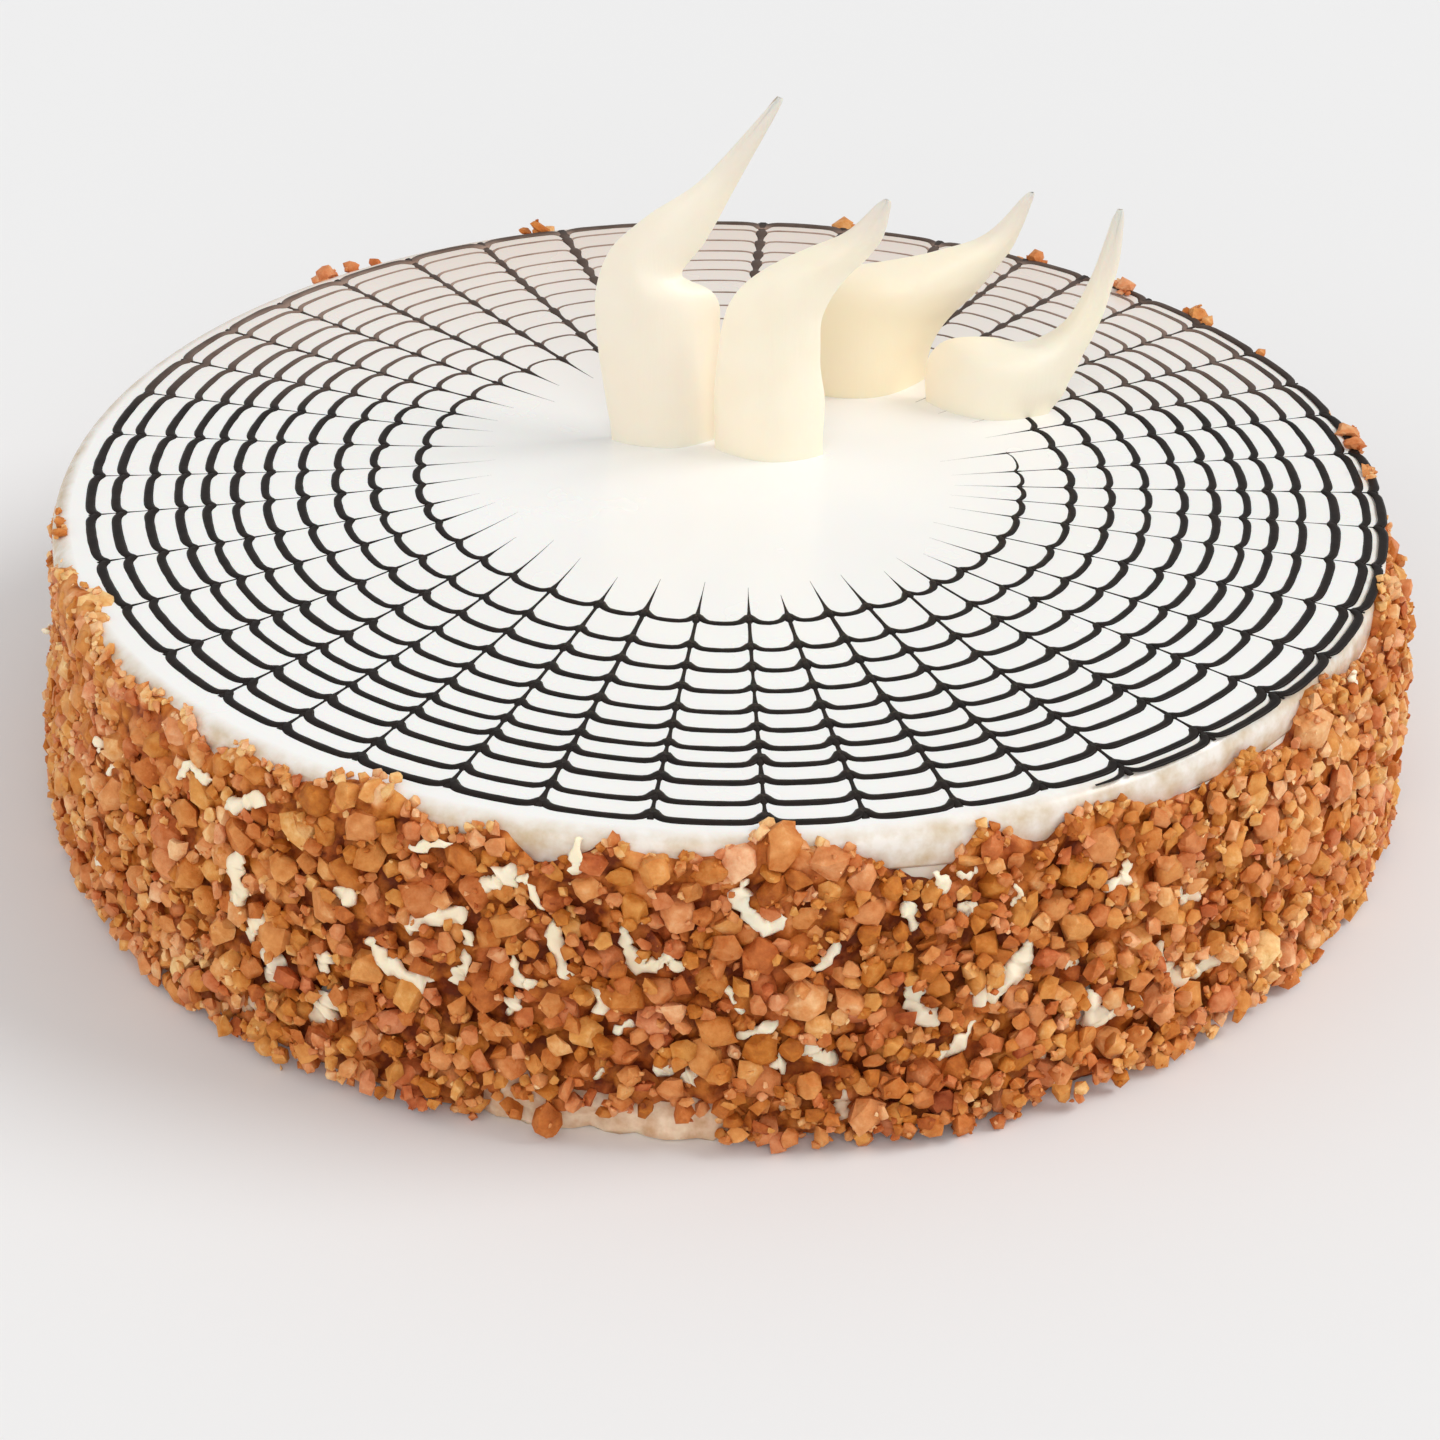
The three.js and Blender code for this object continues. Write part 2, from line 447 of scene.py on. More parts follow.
# The lines at the back are thin, let the glaze through and look brown.
def chocolateMaterial(name, thinning):
    material, shader = newMaterial(name, Roughness=0.45, Specular_IOR_Level=0.2)
    place = objectPoint(material)
    thick = rampOn(material, noiseOn(material, place, 300), [
        (0.3, fromSrgb(16, 10, 7)), (0.75, fromSrgb(34, 23, 17))])
    thin = rampOn(material, noiseOn(material, place, 240), [
        (0.3, fromSrgb(140, 112, 97)), (0.75, fromSrgb(182, 156, 141))])
    back = rangeOf(material, axisOf(material, place, "Y"), 0, thinning, *web["thin"])
    edge = rangeOf(material, lengthOf(material, place), 1, 0.25, *web["firmEdge"])
    share = timesOf(material, back, edge)
    feed(shader, "Base Color", mixOf(material, share, thick, thin))
    feed(shader, "Roughness", rangeOf(material, noiseOn(material, place, 500), 0.38, 0.55))
    bumpOn(material, shader, noiseOn(material, place, 900, 2), 0.3, 0.1 * mm)
    return material


# Where the line is after the strokes have pulled it in, and how close the nearest stroke is.
def draggedPoint(turns, azimuth, pulls):
    radius = turnRadius(turns, azimuth)
    place = web["centre"] + polar(radius, math.radians(azimuth), 0)
    nearest = min(range(len(strokes)),
                  key=lambda k: degreesApart(strokePoint(strokes[k], radius)[1], azimuth))
    crossing = strokePoint(strokes[nearest], radius)[0]
    way = strokePoint(strokes[nearest], radius - 1 * mm)[0] - crossing
    way.normalize()
    offset = place - crossing
    gap = (offset - way * offset.dot(way)).length / mm
    wobble = 0.85 + 0.3 * noise.noise(Vector((turns * 7, azimuth * 0.05, 3)))
    share = math.exp(-((gap / web["reach"]) ** 1.3))
    sag = 0.1 * (1 - math.exp(-gap / 5))
    pull = web["drag"] * pulls[nearest] * strokeStrength(azimuth) * wobble * (share - sag)
    return place + way * pull * mm, gap


def makeWeb():
    random = np.random.default_rng(41)
    pulls = random.uniform(0.8, 1.15, len(strokes))

    # the spiral: close steps beside each stroke and long ones between
    line = []
    travelled, whole = 0, 360 * web["turns"]
    while travelled < whole:
        turns = travelled / 360
        azimuth = (web["startAzimuth"] + travelled + 180) % 360 - 180
        place, gap = draggedPoint(turns, azimuth, pulls)
        width = web["outerWidth"] + (web["innerWidth"] - web["outerWidth"]) * turns / web["turns"]
        width *= 1 - 0.62 * farBack(azimuth) * smoothStep(turns, 0.5, 1.3)
        width *= 1 - 0.06 * max(0, math.cos(math.radians(azimuth)))
        width *= 1 + 0.22 * noise.noise(Vector((travelled * 0.11, turns * 3, 8)))
        width *= 1 + 0.12 * noise.noise(Vector((travelled * 0.7, 2, 8)))
        width *= min(1, 0.3 + travelled / 8, 0.15 + (whole - travelled) / 30)
        line.append((place, width))
        step = 0.28 if gap < 2 * web["reach"] else 0.9
        travelled += math.degrees(step * mm / turnRadius(turns, azimuth))
    webCurve("webSpiral", [line], chocolateMaterial("darkChocolateLine", 1))

    # the strokes: fat where they have just crossed a turn, thin before the next one
    runs = []
    for stroke, pull in zip(strokes, pulls):
        ahead = (stroke[0] - web["startAzimuth"]) % 360 / 360
        crossings = [turnRadius(ahead + turn, stroke[0]) for turn in range(12)
                     if ahead + turn < web["turns"]]
        strength = strokeStrength(stroke[0]) ** 1.4 * random.uniform(0.85, 1.15)
        strength *= 1 + 0.35 * farBack(stroke[0])
        inner = crossings[-1] - web["tail"] * mm * random.uniform(0.75, 1.2)
        run = []
        radius = crossings[0] + 0.3 * mm
        while radius > inner:
            passed = [crossing for crossing in crossings if crossing >= radius]
            since = (passed[-1] - radius) / mm if passed else 0
            blob = math.exp(-(((since - 0.9) / 1.7) ** 2))
            width = web["strokeWidth"] + web["strokeBlob"] * blob
            width *= strength * (1 + 0.2 * noise.noise(Vector((radius * 400, stroke[0], 5))))
            if radius < crossings[-1]:
                width *= 1 - 0.9 * smoothStep(crossings[-1] - radius, 0, crossings[-1] - inner)
            run.append((strokePoint(stroke, radius)[0], width))
            radius -= 0.45 * mm
        runs.append(run)
    webCurve("webStrokes", runs, chocolateMaterial("darkChocolateStroke", 0.25))


# Crunch coat. Its ragged upper edge all the way round: azimuth, and climb in mm.
coatEdge = [
    (-180, 44.5), (-172, 44.0), (-168, 44.8), (-165, 49.4), (-163, 52.3), (-160, 51.7),
    (-157, 54.2), (-151, 50.2), (-144, 48.2), (-140, 50.0), (-137, 49.6), (-135, 48.6),
    (-133, 46.0), (-130, 50.0), (-127, 48.4), (-124, 48.2), (-121, 50.1), (-118, 52.2),
    (-115, 51.1), (-112, 48.2), (-110, 47.2), (-107, 49.4), (-106, 49.1), (-104, 45.4),
    (-103, 45.0), (-101, 46.2), (-98.5, 49.3), (-94, 47.4), (-89, 48.3), (-86, 52.2),
    (-83, 49.0), (-80, 48.1), (-77, 44.6), (-75, 42.2), (-73.5, 41.0), (-72, 43.6), (-70, 48.9),
    (-69, 48.7), (-65, 44.5), (-64, 44.5), (-62, 47.8), (-58, 48.0), (-55, 45.0), (-53, 44.4),
    (-48, 43.8), (-44, 46.2), (-40, 42.4), (-38, 42.6), (-36, 48.2), (-35, 49.0), (-32, 48.1),
    (-29, 45.4), (-25, 43.9), (-20.5, 42.4), (-18, 49.8), (-17, 49.9), (-15, 48.6), (-12, 43.0),
    (-8, 40.2), (0, 39.0), (15, 40.5), (21, 44.4), (50, 45.2), (90, 46.0), (150, 46.0),
    (180, 44.5),
]
coat = {
    "lowest": 0.25 * mm,
    "sink": 0.3,  # how much of a grain's radius is pressed in
    "deepest": 5.0 * mm,
    "rimLess": 1.9 * mm,  # how much thinner it is at the rim
    "rightMore": 0.9 * mm,
    "cornerFoot": 1.9,  # mm more at the foot of the two front corners
    "frontFoot": 0.6,  # and between them
}


def coatTop(azimuth):
    azimuth = (azimuth + 180) % 360 - 180
    climb = np.interp(azimuth, *zip(*coatEdge))
    return (climb + 0.35 * noise.noise(Vector((azimuth * 0.9, 5, 0)))) * mm


# How far the coat stands out: least at the left and the rim, most at the front corners' foot.
def coatDepth(azimuth, climb):
    left = bell(azimuth, 178, 30)
    corners = max(bell(azimuth, -127, 21), bell(azimuth, -70, 21))
    front = bell(azimuth, -92, 44)
    depth = coat["deepest"] - coat["rimLess"] * smoothStep(climb, 26 * mm, 51 * mm)
    depth -= left * (0.3 + 2.9 * smoothStep(climb, 12 * mm, 36 * mm)) * mm
    depth += coat["rightMore"] * math.cos(math.radians(azimuth))
    foot = 1 - smoothStep(climb, 5 * mm, 24 * mm)
    depth += (coat["cornerFoot"] * corners + coat["frontFoot"] * front) * mm * foot
    return max(depth, 0.3 * mm) * (0.82 + 0.18 * smoothStep(climb, 0.3 * mm, 3.5 * mm))


# Smears of cream that the crunch has squeezed out. Each is a path of azimuth and climb in mm,
# with its half-width in mm at the middle.
smears = [
    ([(-113.7, 30), (-112.4, 32.8), (-108.8, 35.2)], 1.1),
    ([(-117.1, 27), (-115.8, 24), (-113.7, 22.2), (-111.9, 22.3)], 1.3),
    ([(-108.8, 29), (-109.1, 26), (-109.5, 24.7), (-109.4, 22.5)], 0.9),
    ([(-105.1, 44.2), (-106, 42), (-107.3, 40.2)], 1.1),
    ([(-104.9, 42.5), (-103.7, 42), (-103.1, 38.5)], 0.5),
    ([(-102.3, 36), (-101.6, 31), (-100.9, 27.2)], 0.9),
    ([(-105.3, 29.5), (-104.5, 25), (-103.7, 26)], 0.7),
    ([(-104.8, 22.5), (-105.6, 19.8)], 0.9),
    ([(-96.9, 36.5), (-96.4, 33.2), (-95.5, 30.2), (-94.3, 30.8), (-93.3, 31.8), (-92.3, 29.5)],
     0.9),
    ([(-98.7, 26), (-98.2, 21.2)], 0.9), ([(-98.9, 10.8), (-98.2, 12)], 0.7),
    ([(-93.8, 13), (-93.5, 13.4)], 1.0), ([(-91.9, 11.8), (-91.6, 12)], 1.1),
    ([(-113.4, 44.2), (-110, 46.5)], 0.5), ([(-100.3, 49), (-100.3, 45)], 0.8),
    ([(-97.7, 19), (-96.2, 20.8)], 0.6), ([(-108.8, 32.2), (-108.8, 30)], 0.6),
    ([(-87.9, 45), (-88.2, 42), (-87.4, 39), (-86.1, 37), (-84.9, 38.8)], 1.1),
    ([(-75.9, 39), (-75.1, 35)], 0.8), ([(-71.2, 37), (-70.8, 37.2)], 1.0),
    ([(-71.7, 42.4), (-70.4, 43)], 0.4), ([(-67.2, 39.5), (-67, 37), (-67.6, 35.8)], 0.4),
    ([(-80.8, 34), (-82.7, 28.8)], 0.6), ([(-89.2, 28), (-88, 23)], 0.6),
    ([(-88.3, 18.8), (-85.3, 21.2)], 0.6), ([(-74.8, 25), (-74.9, 22), (-73, 18)], 1.3),
    ([(-70.4, 23.2), (-69.3, 22), (-68.3, 22.5), (-67, 25), (-66.2, 27.5), (-66, 30)], 1.4),
    ([(-73.1, 12.8), (-71.7, 13.5), (-70.1, 17.5)], 1.0),
    ([(-82.8, 18), (-82.4, 15.5), (-81, 14.5)], 1.1), ([(-85.4, 14.3), (-85.1, 14.5)], 1.2),
    ([(-85.1, 7), (-84.8, 7.3)], 1.1),
    ([(-79.4, 9.2), (-80.3, 7.2), (-80.3, 5), (-79.7, 3.2)], 0.7),
    ([(-73.6, 44), (-72.8, 41)], 0.8), ([(-130.8, 39.6), (-128.7, 41.8), (-126.6, 44.5)], 1.1),
    ([(-129, 32.8), (-129.9, 30.5), (-129.5, 25.5), (-130.6, 24.8)], 1.2),
    ([(-127.6, 24), (-128.2, 21.5), (-128.6, 18.8)], 1.2),
    ([(-125.5, 17.5), (-126.9, 15), (-126.5, 12)], 1.4),
    ([(-120.9, 14.5), (-121.5, 12), (-122.2, 9.5)], 1.7), ([(-120.8, 22), (-121.4, 19)], 1.0),
    ([(-119.7, 33.5), (-118.4, 32.8)], 1.1), ([(-130, 5), (-128.5, 7)], 1.0),
    ([(-136.1, 39.8), (-135.3, 42.8), (-133.7, 43), (-132.4, 42.5)], 0.6),
    ([(-57.5, 38.5), (-57.9, 35.5), (-59.4, 35.2)], 1.1),
    ([(-52.6, 29.8), (-50.9, 27.5), (-49.3, 28.2)], 0.9),
    ([(-53.5, 21.5), (-53.5, 18), (-52.4, 15), (-50.3, 13.2), (-48, 14), (-45.9, 12.5)], 1.2),
    ([(-60.3, 17.5), (-60, 14), (-59.5, 11)], 1.3), ([(-58.7, 12.5), (-55, 12.5)], 0.6),
    ([(-62.9, 24.8), (-61.6, 23)], 0.9), ([(-64.6, 9), (-64.3, 9.2)], 0.7),
]
smearForm = {
    "rise": 2.3 * mm,  # how far out of the coat they lie
    "rightRise": 1.3 * mm,
    "flat": 0.45,
    "widen": 1.2,
    "clear": 0.3,  # share of the width that grains keep off
    "elsewhere": 22,  # how many more lie at random away from the front
    "seed": 19,
}

# Nuggets that stand out at the front: azimuth, climb and radius in mm, tone and redness.
plainNuggets = [
    (-98.1, 30.5, 3.0, 0.50, 0.9), (-99.6, 42, 2.8, 0.62, 0.4), (-94.3, 46, 3.2, 0.58, 0.2),
    (-105.6, 35, 3.3, 0.56, 0.2), (-111.6, 28, 2.8, 0.42, 0.9), (-109, 44, 2.8, 0.40, 0.3),
    (-101.4, 21.5, 3.0, 0.50, 0.9), (-94.6, 34.5, 1.9, 0.05, 0.4), (-92.7, 39, 3.2, 0.60, 0.7),
    (-95.1, 8.5, 3.4, 0.34, 0.4), (-101.7, 5, 2.3, 0.36, 0.5), (-107.1, 6, 1.6, 0.30, 0.5),
    (-85.9, 42.5, 2.7, 0.22, 0.3), (-83.5, 33, 3.0, 0.36, 0.4), (-76.9, 32.5, 3.2, 0.48, 0.3),
    (-79.5, 21.5, 2.7, 0.50, 1.0), (-83.5, 9.5, 3.0, 0.36, 0.2), (-68.8, 39.5, 2.9, 0.36, 0.0),
    (-68.8, 27, 3.0, 0.38, 0.2), (-71.9, 17, 2.1, 0.10, 0.4), (-69.3, 46, 2.4, 0.42, 0.8),
    (-50.3, 17.5, 3.3, 0.46, 0.4),
]
# Loose crumbs on the rim: azimuth, distance from the middle and size across in mm, redness.
strays = [
    (131.4, 106.6, 5.2, 0.9), (128.3, 106.6, 4.0, 0.8), (126, 106.2, 3.0, 0.8),
    (108.3, 106, 5.6, 0.3), (78, 106.2, 5.2, 0.3), (57.9, 105.6, 5.0, 0.6),
    (46.6, 103.6, 4.8, 0.9), (38.7, 106.4, 6.0, 0.3), (29.6, 106.4, 3.4, 0.4),
    (11.4, 105.8, 5.6, 0.7), (8.6, 105.2, 4.6, 0.8), (3.6, 105, 4.2, 0.5),
    (-171.5, 104.9, 3.0, 0.3), (-169.6, 104.9, 3.4, 0.3), (-174, 105.1, 2.0, 0.3),
]

# Sizes are radii in mm. Tone runs from dark to pale.
grainKinds = {
    "crunchNuggets": {"radius": (2.0, 3.5), "tries": 2400, "points": 40, "close": 0.82,
                      "stand": 1.0, "flat": 0.78, "tone": (0.3, 0.6), "seed": 3},
    "crunchCrumbs": {"radius": (1.3, 2.2), "tries": 7500, "points": 22, "close": 0.7,
                     "stand": 1.0, "flat": 0.74, "tone": (0.29, 0.66), "seed": 5},
    "crunchBits": {"radius": (0.75, 1.25), "tries": 4800, "points": 15, "close": 0.7,
                   "stand": 0.94, "flat": 0.85, "tone": (0.29, 0.7), "seed": 7},
    "crunchFines": {"radius": (0.3, 0.6), "count": 2800, "points": 11, "flat": 1,
                    "tone": (0.25, 0.78), "seed": 9},
}


# More bits along the upper edge of the coat, where it frays.
edgeBits = {"count": 1000, "radius": (0.6, 1.3), "above": 0.3, "below": 1.7, "leftBelow": 9}


def crunchMaterial():
    material, shader = newMaterial("butterscotchCrunch", Roughness=0.55, Specular_IOR_Level=0.2,
                                   Subsurface_Weight=0.1, Subsurface_Scale=0.001)
    place = objectPoint(material)
    speckle = noiseOn(material, place, 620, 4, 0.65)
    mixed = addNode(material, "Math", "MULTIPLY_ADD", in0=speckle, in1=0.6, in2=-0.3)
    # the tone attribute carries painted shade as well as the grains' own tone: darker at the
    # front, in the bed's gaps and on the grains' inner sides
    shade = addNode(material, "Math", "ADD", in0=attributeOf(material, "tone"),
                    in1=mixed.outputs["Value"]).outputs["Value"]
    golden = rampOn(material, shade, [
        (0.0, fromSrgb(112, 45, 8)), (0.22, fromSrgb(160, 84, 21)),
        (0.45, fromSrgb(198, 118, 41)), (0.7, fromSrgb(224, 156, 80)),
        (1.0, fromSrgb(252, 214, 152))])
    ruddy = rampOn(material, shade, [
        (0.0, fromSrgb(112, 37, 13)), (0.22, fromSrgb(160, 70, 30)),
        (0.45, fromSrgb(198, 106, 57)), (0.7, fromSrgb(224, 146, 99)),
        (1.0, fromSrgb(250, 204, 160))])
    blend = mixOf(material, attributeOf(material, "redness"), golden, ruddy)
    feed(shader, "Base Color", blend)
    feed(shader, "Roughness", rangeOf(material, speckle, 0.42, 0.68))
    bumpOn(material, shader, noiseOn(material, place, 1300, 4, 0.7), 0.7, 0.35 * mm)
    return material


# The front of the coat is a little darker than the sides, as painted shade; it is also lighter
# along the rim.
def toneWithPaintedShadeAt(azimuth, climb):
    patch = noise.noise(polar(frostedRadius, math.radians(azimuth), climb) * 150)
    rim = 0.2 * smoothStep(climb, 45 * mm, 50 * mm)
    return 0.01 + 0.13 * smoothStep(degreesApart(azimuth, -92), 20, 60) + 0.2 * patch + rim


def rednessAt(azimuth, climb):
    spot = polar(frostedRadius, math.radians(azimuth), climb)
    return 0.25 + 0.6 * noise.noise(spot * 210 + Vector((9, 9, 9)))


# The bed of fine crumbs pressed into the cream: lumps with smaller ones on them, painted darker
# in the gaps between them as painted shade.
bed = {"around": 1180, "rows": 80, "lump": 3.1 * mm, "grit": 1.3 * mm}


def makeBed(material):
    bm = bmesh.new()
    bmesh.ops.create_grid(bm, x_segments=bed["around"], y_segments=bed["rows"], size=1)
    tones = bm.verts.layers.float.new("tone")
    ruddy = bm.verts.layers.float.new("redness")
    for vert in bm.verts:
        azimuth = 180 * vert.co.x
        share = (vert.co.y + 1) / 2
        top = coatTop(azimuth)
        climb = coat["lowest"] + share * (top - coat["lowest"])
        spot = polar(frostedRadius, math.radians(azimuth), climb)
        bend = spot + 0.9 * mm * noise.noise_vector(spot * 500)
        near, cells = noise.voronoi(bend / bed["lump"])
        fine = noise.voronoi(bend / bed["grit"])[0][0]
        cell = noise.noise(cells[0] * 3.7)
        lift = coatDepth(azimuth, climb) * 0.36 + (0.5 - near[0] + 0.5 * cell) * 1.5 * mm
        lift += (0.45 - fine) * 0.55 * mm
        edge = smoothStep(1 - share, 0, 0.022) * (0.5 + 0.5 * smoothStep(share, 0, 0.06))
        lift = max(lift, 0.3 * mm) * edge - 0.8 * mm * (1 - edge)
        lift -= 4 * mm * bareness(azimuth, climb)
        vert.co = onCake(azimuth, climb, lift)[0]
        # painted shade: darker where the bed sinks between the lumps and the grit
        depth = min(1, max(0, (near[0] - 0.25) / 0.5))
        vert[tones] = 0.44 + 0.45 * cell - 0.32 * depth - 0.12 * fine + toneWithPaintedShadeAt(azimuth, climb)
        vert[ruddy] = rednessAt(azimuth, climb) + 0.5 * cell
    bmesh.ops.remove_doubles(bm, verts=bm.verts, dist=0.02 * mm)
    mesh = meshFrom(bm, "crunchBed")
    finishPiece("crunchBed", mesh, material, ["crunch_coat"])


# Broken grains of one kind: each is the hull of uneven points with some pressed in again.
def grainShapes(kind):
    shapes = []
    random = np.random.default_rng(kind["seed"] + 100)
    for _ in range(9):
        bm = bmesh.new()
        stretch = random.uniform(0.74, 1.16, 3)
        lobe = Vector(random.normal(size=3)).normalized()
        for _ in range(kind["points"]):
            way = Vector(random.normal(size=3)).normalized()
            reach = random.uniform(0.78, 1.08) + 0.2 * max(0, way.dot(lobe))
            bm.verts.new(Vector(a * b for a, b in zip(way * reach, stretch)))
        bmesh.ops.convex_hull(bm, input=bm.verts)
        loose = [vert for vert in bm.verts if not vert.link_faces]
        bmesh.ops.delete(bm, geom=loose, context="VERTS")
        bmesh.ops.recalc_face_normals(bm, faces=bm.faces)
        bm.verts.index_update()
        points = np.array([vert.co * random.uniform(0.78, 1.04) for vert in bm.verts])
        faces = np.array([[vert.index for vert in face.verts] for face in bm.faces])
        bm.free()
        shapes.append((points, faces))
    return shapes


# Grains lie on the unrolled coat, as a distance round it and a climb, and are kept in cells so
# that neighbours are found quickly. Each is (azimuth, climb, size, lift, tone, redness).
class Heap:
    def __init__(self):
        self.cell = 4 * mm
        self.around = int(math.tau * frostedRadius / self.cell)
        self.cells = {}

    def key(self, azimuth, climb):
        return int(azimuth % 360 / 360 * self.around) % self.around, int(climb / self.cell)

    def add(self, *grain):
        self.cells.setdefault(self.key(grain[0], grain[1]), []).append(grain)
        return grain

    def near(self, azimuth, climb):
        column, row = self.key(azimuth, climb)
        for i in range(-2, 3):
            for j in range(-2, 3):
                for grain in self.cells.get(((column + i) % self.around, row + j), ()):
                    across = math.radians(degreesApart(azimuth, grain[0])) * frostedRadius
                    yield grain, math.hypot(across, climb - grain[1])


heap = Heap()
keepClear = Heap()


def freshTone(kind, azimuth, climb, random):
    redness = rednessAt(azimuth, climb) + random.uniform(-0.35, 0.6)
    tone = min(0.8, random.uniform(*kind["tone"]) + toneWithPaintedShadeAt(azimuth, climb))
    return tone, min(1, max(0, redness))


# Each grain drops on to the bed or on to the grains under it, the largest ones first.
def settle(kind, random):
    placed = []
    low, high = kind["radius"]
    sizes = np.sort(low + (high - low) * random.random(kind["tries"]) ** 1.4)[::-1] * mm
    for size in sizes:
        azimuth = random.uniform(-180, 180)
        limit = coatTop(azimuth)
        climb = random.uniform(size * 0.75, limit)
        if climb + 0.6 * size > limit + 0.3 * mm:
            continue
        if bareness(azimuth, climb) > random.uniform(0.1, 1.15):
            continue
        if any(apart < size * 0.65 + mark[2] for mark, apart in keepClear.near(azimuth, climb)):
            continue
        deepest = coatDepth(azimuth, climb) * kind["stand"]
        lift = coatDepth(azimuth, climb) * 0.34 + size * kind["flat"] * (0.55 - coat["sink"])
        lift = min(lift, deepest - size * kind["flat"] * 0.8)
        for grain, apart in heap.near(azimuth, climb):
            touching = kind["close"] * (size + grain[2])
            if apart < touching:
                lift = max(lift, grain[3] * 0.9 + math.sqrt(touching ** 2 - apart ** 2) * 0.85)
        if lift + size * kind["flat"] > deepest + 0.3 * size:
            continue
        tint = freshTone(kind, azimuth, climb, random)
        placed.append(heap.add(azimuth, climb, size, lift, *tint))
    return placed


def makeSmears(random):
    curve = bpy.data.curves.new("creamSmears", "CURVE")
    curve.dimensions = "3D"
    curve.bevel_depth = 1 * mm
    curve.bevel_resolution = 3
    curve.use_fill_caps = True
    paths = list(smears)
    while len(paths) < len(smears) + smearForm["elsewhere"]:
        azimuth, climb = random.uniform(-180, 180), random.uniform(6, 43)
        if degreesApart(azimuth, -90) < 54:
            continue
        path = [(azimuth, climb)]
        way = random.uniform(0, math.tau)
        for _ in range(random.integers(1, 4)):
            way += random.uniform(-0.8, 0.8)
            path.append((path[-1][0] + 1.3 * math.cos(way), path[-1][1] + 2.6 * math.sin(way)))
        paths.append((path, random.uniform(0.45, 0.9)))
    for path, half in paths:
        steps = 6 * len(path)
        spline = curve.splines.new("POLY")
        spline.points.add(steps)
        rise = smearForm["rise"] + random.uniform(-0.5, 0.5) * mm
        for step in range(steps + 1):
            share = step / steps
            spot = through(path, share)
            ends = math.sqrt(max(0, 1 - (2 * share - 1) ** 4))
            swell = noise.noise(Vector((share * len(path) * 2.3, path[0][0], 3)))
            width = half * smearForm["widen"] * max(0.12, ends * (1 + 1.1 * swell))
            lift = rise * (0.7 + 0.3 * ends) * (1 - 0.3 * smoothStep(spot.y, 36, 50))
            lift += smearForm["rightRise"] * smoothStep(spot.x, -80, -60)
            spline.points[step].co = (*onCake(spot.x, spot.y * mm, lift)[0], 1)
            spline.points[step].radius = width
            keepClear.add(spot.x, spot.y * mm, width * smearForm["clear"] * mm)
    mesh = curveMesh(curve, "creamSmears")
    for vert in mesh.vertices:
        flat = math.hypot(vert.co.x, vert.co.y)
        level = frostedRadius + smearForm["rise"]
        out = level + (flat - level) * smearForm["flat"] + 0.4 * mm * noise.noise(vert.co * 700)
        if vert.co.z < sideTop:
            vert.co.x *= out / flat
            vert.co.y *= out / flat
        vert.co += 0.8 * mm * noise.noise_vector(vert.co * 560)
    material = creamMaterial("squeezedCream", (255, 232, 197), (255, 241, 216))
    finishPiece("creamSmears", mesh, material)


def makeStrays(random):
    spots = []
    for azimuth, radius, across, redness in strays:
        reach = min(1, max(0, (radius * mm - frostedRadius + rimRadius) / rimRadius))
        level = cakeTop - min(rimRadius * (1 - math.sqrt(1 - reach * reach)), 1.6 * mm)
        for count in range(1 + round(across)):
            size = across * (0.42 if count == 0 else random.uniform(0.16, 0.28)) * mm
            aside = 0 if count == 0 else random.uniform(-0.5, 0.5) * across
            turn = math.radians(azimuth) + aside * mm / frostedRadius
            inward = 0 if count == 0 else random.uniform(-0.25, 0.25) * across
            place = polar((radius + inward) * mm, turn, level + size * 0.6)
            spots.append((place, Vector((0, 0, 1)), size, random.uniform(0.4, 0.75), redness))
    return spots


def grainMesh(name, kind, spots, random):
    shapes = grainShapes(kind)
    allPoints, allFaces, tones, reds = [], [], [], []
    start = 0
    for place, out, size, tone, redness in spots:
        points, faces = shapes[random.integers(len(shapes))]
        spin = np.array(Quaternion(random.normal(size=4)).normalized().to_matrix())
        lumps = points @ spin.T * size
        normal = np.array(out)
        lumps -= np.outer(lumps @ normal * (1 - kind["flat"]), normal)
        height = lumps @ normal / size
        lumps += np.array(place)
        lumps[:, 2] = np.maximum(lumps[:, 2], 0.03 * mm)
        allPoints.append(lumps)
        allFaces.append(faces + start)
        start += len(points)
        # painted shade: each grain is darker on its inner side, towards the bed, and lighter
        # outwards
        tones.append(tone + 0.12 * height + random.uniform(-0.08, 0.08, len(points)))
        reds.append(np.full(len(points), redness))
    mesh = bpy.data.meshes.new(name)
    mesh.from_pydata(np.concatenate(allPoints), [], np.concatenate(allFaces))
    for label, values in (("tone", tones), ("redness", reds)):
        layer = mesh.attributes.new(label, "FLOAT", "POINT")
        layer.data.foreach_set("value", np.concatenate(values))
    for face in mesh.polygons:
        face.use_smooth = True
    mesh.set_sharp_from_angle(angle=math.radians(44))
    return mesh


